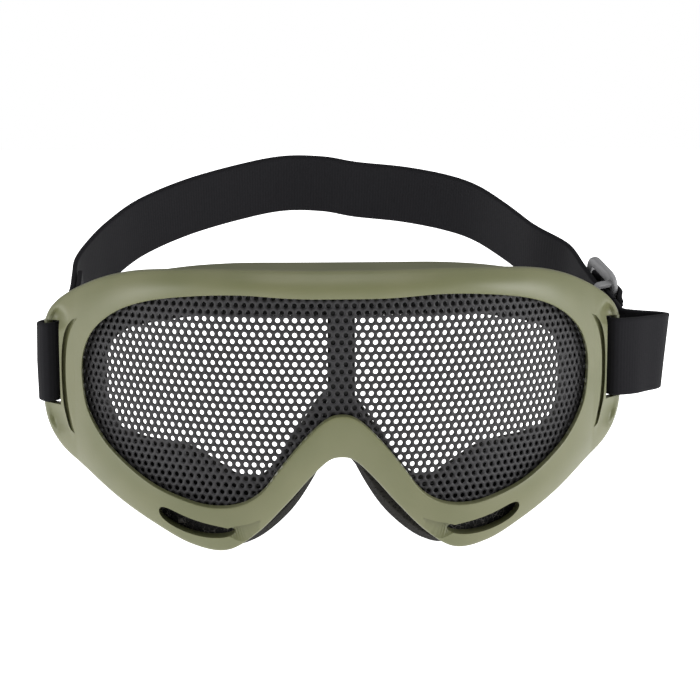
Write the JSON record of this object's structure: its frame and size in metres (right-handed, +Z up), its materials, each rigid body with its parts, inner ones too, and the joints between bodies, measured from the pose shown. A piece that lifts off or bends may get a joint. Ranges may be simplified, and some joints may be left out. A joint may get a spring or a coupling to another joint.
{
  "type": "mesh safety goggles",
  "caption": "Wrap-around protective goggles with a moulded frame, a curved steel mesh lens, a face foam and an elastic strap with a slider.",
  "frame": {"origin": "top of the nose arch on the front edge of the frame, at the depth of the lens's front surface", "axes": "+Z up, +Y from the front towards the wearer, +X to the right as the front is seen"},
  "size_m": [0.2063, 0.1537, 0.1194],
  "materials": {
    "frame": "satin moulded soft plastic",
    "mesh": "black painted perforated steel",
    "retainer": "matt black",
    "foam": "open-cell foam",
    "film": "adhesive film",
    "webbing": "woven elastic",
    "thread": "polyester thread",
    "slider": "grey moulded plastic"
  },
  "bodies": {
    "goggles": {"frame_shell": "frame", "mesh_lens": "mesh", "lens_retainer": "retainer", "face_foam": "foam", "foam_adhesive": "film", "vent_filter_left": "foam", "vent_filter_right": "foam"},
    "strap": {"strap_webbing": "webbing", "left_bartack": "thread"},
    "adjuster": {"slider": "slider", "strap_fold": "webbing", "fold_bartack": "thread"}
  },
  "joints": [
    {"name": "strap_swing", "type": "hinge", "parent": "goggles", "child": "strap", "pos_m": [0, 0.0461, 0.0232], "axis": [1, 0, 0], "range_deg": [-10, 8]},
    {"name": "slider_travel", "type": "slide", "parent": "strap", "child": "adjuster", "axis": [-0.2756, 0.8107, 0.5165], "range_m": [0, 0.012]}
  ]
}
